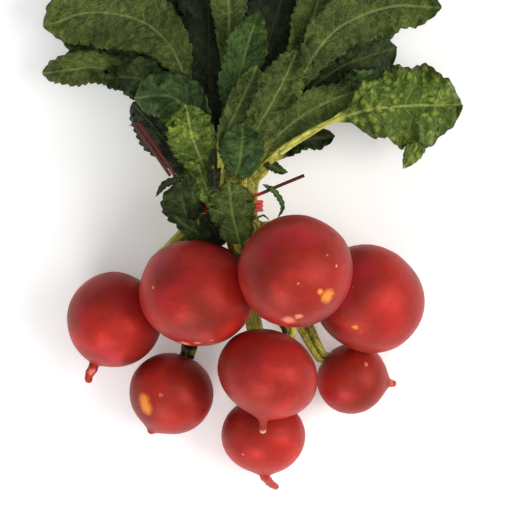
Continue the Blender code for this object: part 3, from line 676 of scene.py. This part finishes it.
def blade_lift(number, base, u, x, along, to_tip, ruffle, pucker, curl, wave, tree):
    """How far a blade's point stands off its CAD surface, kept within the free height there."""
    phase = along / wave[0] * 2 * math.pi + wave[1] if u > 0 else along / wave[2] * 2 * math.pi + wave[3]
    edge = abs(u) ** 1.6
    lift = ruffle * 1.5 * MM * edge * math.sin(phase + 0.9 * wobble(base, 9, number))
    lift += ruffle * 0.45 * MM * edge * math.sin(along / (5.2 * MM) * 2 * math.pi + 2 * wave[1] + 3 * u)
    lift += 1.1 * MM * ruffle * wobble(base, 14, number + 1)
    out = abs(x) / MM
    order = (along / MM - VEIN_LEAN * out**VEIN_BEND) / VEIN_SPACING + 0.5
    quilt = math.sin(math.pi * (order % 1.0)) ** 0.7
    lift += pucker * MM * (0.8 * quilt * min(1, out / 2.0) + 0.6 * wobble(base, 4.0, number + 2))
    lift -= 0.5 * MM * math.exp(-(out / 1.0) ** 2)
    lift += curl * MM * max(0.0, 1 - to_tip / (14 * MM)) ** 1.5
    above, below = nearest_above_and_below(tree, base, 0.6 * MM)
    room = 0.45 * (above if lift > 0 else below)
    return room * math.tanh(lift / max(room, 1e-5))


def leaf_object(name, top, under, uv, stalk_mask, edge_mask, places, material, node, dark_foot):
    count, wide = top.shape[:2]
    inner = under[:, 1:-1][:, ::-1]
    grid = np.concatenate((top, inner), axis=1)
    obj = mesh_object(name, *tube_parts(grid, 0))
    sides = grid.shape[1]
    column = [*range(wide), *range(wide - 2, 0, -1)]

    def spread(values):
        values = np.array(values).reshape(count, wide, -1)[:, column]
        flat_values = values.reshape(count * sides, -1)
        return np.vstack((flat_values, flat_values[:1], flat_values[-1:]))

    point_values(obj, "stalk", spread(stalk_mask)[:, 0])
    point_values(obj, "edge", spread(edge_mask)[:, 0])
    foot = np.repeat(np.clip(1.6 - places / 3, 0, 1) * dark_foot, wide)
    point_values(obj, "foot", spread(foot)[:, 0])
    at = spread(uv)
    layer = obj.data.uv_layers.new(name="leaf")
    corners = np.empty(len(obj.data.loops), np.int32)
    obj.data.loops.foreach_get("vertex_index", corners)
    layer.data.foreach_set("uv", at[corners].astype(np.float32).reshape(-1))
    obj.data.materials.append(material)
    if node:
        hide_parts(node)
    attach(obj, "root")
    return obj


def tree_of_all():
    points, faces = [], []
    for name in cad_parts:
        own, own_faces = welded_mesh(name)
        faces += (own_faces + len(points)).tolist()
        points += own.tolist()
    return BVHTree.FromPolygons(points, faces)


# Leaflets that grow from the stalks, and last the lobe that hangs from leaf_28. Each has its course from
# the middle of radish_mid_left, its half width, its tone, and how far each point lies over what is below.
# The leaflets in the shade tone are dark sheets laid over stalks and gaps near the neck: painted shade.
LEAFLETS = (
    (((-4.5, 44.5), (-8.5, 42.6), (-12.0, 41.2), (-15.4, 36.8)), 1.7, "shade", (0.6, 1.6, 1.2, 0.6)),
    (((24.9, 41.4), (28.6, 39.4), (31.6, 35.6), (32.4, 32.4), (30.6, 28.8)), 1.3, "green",
     (0.6, 0.8, 1.0, 1.0, 1.0)),
    (((25.2, 48.6), (28.6, 48.2), (31.6, 46.6), (34.4, 46.0)), 2.2, "dark", (0.5, 1.2, 1.2, 0.8)),
    (((22.0, 28.0), (24.6, 29.4), (26.2, 28.8), (27.4, 27.2)), 0.5, "dark", (0.4, 0.6, 0.8, 0.8)),
    (((1.4, 22.4), (-1.8, 24.6), (-5.0, 26.4), (-8.0, 29.4)), 3.4, "dark", (0.6, 1.2, 1.4, 1.2)),
    (((3.0, 21.2), (0.0, 21.9), (-4.6, 21.6)), 2.4, "dark", (0.6, 1.0, 1.0)),
    (((9.6, 18.4), (6.6, 24.3), (2.1, 30.0)), 6.0, "shade", (0.5, 1.0, 1.0)),
    (((16.3, 19.2), (14.8, 25.1), (13.3, 31.1)), 6.8, "olive", (0.5, 0.9, 0.6)),
    (((-0.4, 33.8), (-1.9, 39.5), (-4.2, 46.3)), 3.2, "dark", (0.5, 0.9, 0.9)),
    (((5.6, 33.6), (3.6, 40.3), (0.3, 48.9)), 4.6, "bright", (0.5, 0.7, 0.9)),
    (((6.8, 38.5), (6.6, 46.3), (6.0, 54.8)), 2.8, "shade", (1.0, 1.6, 0.8)),
    (((82.6, 62.0), (83.8, 57.0), (81.8, 52.6), (79.2, 48.2)), 4.0, "bright", (0.6, 1.0, 1.2, 1.2)),
)
LEAFLET_STEPS = 40
LEAFLET_ACROSS = 9
LEAFLET_HALF_THICKNESS = 0.12 * MM
LEAFLET_TOOTH = 2.2 * MM  # along the margin
LEAFLET_TOOTH_DEPTH = 0.45  # millimetres
LEAFLET_SLOPE = 0.6  # the steepest that a leaflet falls along its course


def height_below(tree, x, y):
    hit = tree.ray_cast(Vector((x, y, 0.2)), Vector((0, 0, -1)))
    return 0.0 if hit[0] is None else max(hit[0].z, 0.0)


def make_leaflet(number, course, half_width, lifts, tree, middle, material):
    places = np.linspace(0, len(course) - 1, LEAFLET_STEPS)
    path = blended(np.array(course) * MM, places) + middle[:2]
    lift = np.interp(places, range(len(course)), lifts) * MM
    floor = np.array([height_below(tree, x, y) for x, y in path])
    window = np.ones(9) / 9
    level = np.convolve(np.pad(floor, 4, mode="edge"), window, mode="valid")
    ways = np.gradient(path, axis=0)
    ways /= np.linalg.norm(ways, axis=1)[:, None]
    side = np.column_stack((ways[:, 1], -ways[:, 0], np.zeros(len(ways))))
    along = np.concatenate(((0,), np.cumsum(np.linalg.norm(np.diff(path, axis=0), axis=1))))
    height = np.maximum(level, floor) + lift
    fall = LEAFLET_SLOPE * np.abs(along[:, None] - along[None])
    height = (height[None] - fall).max(axis=1)
    share = along / along[-1]
    half = half_width * MM * np.sin(math.pi * np.clip(share, 0.02, 0.985) ** 0.8) ** 0.7
    cut = min(0.5, LEAFLET_TOOTH_DEPTH / half_width)
    top, under, uv, edge = [], [], [], []
    for j in range(LEAFLET_STEPS):
        up_row, under_row = [], []
        for u in np.linspace(-1, 1, LEAFLET_ACROSS):
            notch = 1 - cut * tooth(along[j], LEAFLET_TOOTH, number + (u > 0)) * abs(u)
            x = u * half[j] * notch
            base = np.array((*path[j], height[j])) + side[j] * x
            base[2] += 0.3 * abs(u) * half[j] + 0.25 * MM * wobble(base, 2.5, number)
            up_row.append(base + UP * LEAFLET_HALF_THICKNESS)
            under_row.append(base - UP * LEAFLET_HALF_THICKNESS)
            uv.append((0.5 + x / UV_SCALE, along[j] / UV_SCALE))
            edge.append(abs(u))
        top.append(up_row)
        under.append(under_row)
    none = [0.0] * len(edge)
    return leaf_object(f"leaflet_{number}", np.array(top), np.array(under), np.array(uv), none, edge,
                       np.zeros(LEAFLET_STEPS), material, None, False)


# The tie


TIE_RED = linear(226, 62, 40)
TIE_DEEP = linear(186, 40, 32)
TIE_SHADE_MAROON = linear(66, 22, 18)
COIL_REACH = 16.5 * MM  # from the middle of the coil, where the wire turns from bright red to the dark maroon painted shade of its ends


def tie_material(coil):
    n = Nodes("tie_red_coating")
    place = n.place()
    bright = n.mix(n.ramp(n.noise(place, 0.003, 3.0), 0.35, 0.7), TIE_DEEP, TIE_RED)
    far = n.ramp(n.distance(place, tuple(coil)), COIL_REACH, COIL_REACH * 1.3)
    # The wire away from the coil turns dark maroon: painted shade on the tie's ends.
    colour = n.mix(n.math("MULTIPLY", far, 0.96), bright, TIE_SHADE_MAROON)
    normal = n.bump(n.noise(place, 0.0012, 3.0), 0.4, 0.0003)
    roughness = n.math("MULTIPLY_ADD", n.noise(place, 0.002), 0.2, 0.35)
    return n.finish(colour, roughness, normal, Specular_IOR_Level=0.35)


def add_run(curve, points, radii):
    spline = curve.splines.new("POLY")
    spline.points.add(len(points) - 1)
    for place, point, radius in zip(spline.points, points, radii):
        place.co = (*point, 1.0)
        place.radius = radius


SPIKES = ((0.8, -0.5), (-0.75, -0.65))  # sideways and back for each step outward, of the wire's bared ends
SPIKE_LENGTH = 3.4 * MM
TURN_SWELL = 1.14  # the soft coating of the pulled turns, which closes the gaps between them


def coil_middle(centres):
    """The middle of the wire's turns, which start at its fourth point and end before its last eight."""
    return centres[3:-8].mean(axis=0)


def make_tie():
    """The tie's wire, round and smooth, with the two bared ends that stand out at its fold."""
    rings, _, _ = sections_of("tie", TIE_SIDES, lambda cap: -cap[:, 0].mean())
    centres = middles_of(rings)
    thick = np.linalg.norm(rings[0] - centres[0], axis=1).mean()
    fine = blended(centres, np.linspace(0, len(centres) - 1, (len(centres) - 1) * 4 + 1))
    curve = bpy.data.curves.new("tie_wire", "CURVE")
    curve.dimensions = "3D"
    curve.bevel_depth = thick
    curve.bevel_resolution = 4
    curve.use_fill_caps = True
    tight = np.linalg.norm(fine - coil_middle(centres), axis=1) < COIL_REACH
    add_run(curve, fine, np.where(tight, TURN_SWELL, 1.0))
    fold = centres[np.argmin(centres[:, 0])]
    out = unit(fold - middles_of(rings)[-1])
    aside = np.cross(out, UP)
    for across, along in SPIKES:
        way = unit(aside * across + out * (1 + along))
        shares = np.linspace(0, 1, 6)
        add_run(curve, [fold + way * SPIKE_LENGTH * s for s in shares], 0.5 - 0.4 * shares)
    curve.materials.append(tie_material(coil_middle(centres)))
    obj = bpy.data.objects.new("tie_wire", curve)
    bpy.context.scene.collection.objects.link(obj)
    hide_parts("tie")
    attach(obj, "root")
    return obj


# Floor, light and camera

# The camera looks straight down on a point given from the middle of radish_mid_left, in millimetres.
VIEW_FROM_ROOT = (22.0, 14.8)
VIEW_HEIGHT = 1.1
VIEW_WIDTH = 193.8 * MM  # of the surface at FOCUS_HEIGHT that the camera sees
FOCUS_HEIGHT = 34 * MM


def make_floor():
    bpy.ops.mesh.primitive_plane_add(size=6, location=(0, 0, -0.0003))
    floor = bpy.context.object
    floor.name = "floor"
    n = Nodes("floor_paper_glow")
    colour = n.mix(n.ramp(n.noise(n.place(), 0.4, 2.0), 0.3, 0.7), (0.9, 0.9, 0.9), (0.93, 0.93, 0.93))
    # The floor glows a little though it is no lamp: painted light that whitens it and lifts the shadows
    # round the bunch.
    n.finish(colour, 0.8, n.bump(n.noise(n.place(), 0.002, 2.0), 0.05, 0.0002),
             Emission_Color=(1, 1, 1, 1), Emission_Strength=0.22)
    floor.data.materials.append(n.material)


def make_light(name, location, target, size, power, colour=(1, 1, 1)):
    data = bpy.data.lights.new(name, "AREA")
    data.shape = "RECTANGLE"
    data.size, data.size_y = size
    data.energy = power
    data.color = colour
    lamp = bpy.data.objects.new(name, data)
    bpy.context.scene.collection.objects.link(lamp)
    lamp.location = location
    lamp.rotation_euler = (Vector(target) - Vector(location)).to_track_quat("-Z", "Y").to_euler()
    return lamp


def make_lights():
    """Two soft boxes, low from the right and from the front, with a weak fill from above."""
    aim = Vector((0, -0.02, 0.03))
    make_light("key_right", aim + Vector((0.80, -0.10, 0.74)), aim, (0.75, 0.75), 9.0, (1.0, 0.97, 0.93))
    make_light("key_front", aim + Vector((-0.36, -0.94, 0.52)), aim, (0.6, 0.6), 7.0, (1.0, 0.98, 0.95))
    make_light("over", aim + Vector((0.1, -0.2, 1.6)), aim, (1.2, 1.2), 4.0)
    world = bpy.data.worlds.new("studio")
    bpy.context.scene.world = world
    world.use_nodes = True
    world.node_tree.nodes["Background"].inputs["Color"].default_value = (0.96, 0.98, 1, 1)
    world.node_tree.nodes["Background"].inputs["Strength"].default_value = 0.4


def make_camera():
    middle = middle_of("radish_mid_left")
    data = bpy.data.cameras.new("camera")
    camera = bpy.data.objects.new("camera", data)
    bpy.context.scene.collection.objects.link(camera)
    camera.location = (middle[0] + VIEW_FROM_ROOT[0] * MM, middle[1] + VIEW_FROM_ROOT[1] * MM, VIEW_HEIGHT)
    data.angle = 2 * math.atan(VIEW_WIDTH / 2 / (VIEW_HEIGHT - FOCUS_HEIGHT))
    data.clip_start = 0.01
    bpy.context.scene.camera = camera
    bpy.context.scene.view_settings.view_transform = "Standard"


def main():
    make_camera()
    make_floor()
    make_lights()
    for seed, name in enumerate(MARKS):
        make_root(name, seed)
    tree = tree_of_all()
    materials = {tone: leaf_material(tone) for tone in TONES}
    for number in range(1, LEAF_COUNT + 1):
        make_leaf(number, tree, materials[LOOKS.get(number, COMMON_LOOK)[0]])
    middle = middle_of("radish_mid_left")
    for number, (course, half_width, tone, lifts) in enumerate(LEAFLETS):
        make_leaflet(number, course, half_width, lifts, tree, middle, materials[tone])
    make_tie()


main()
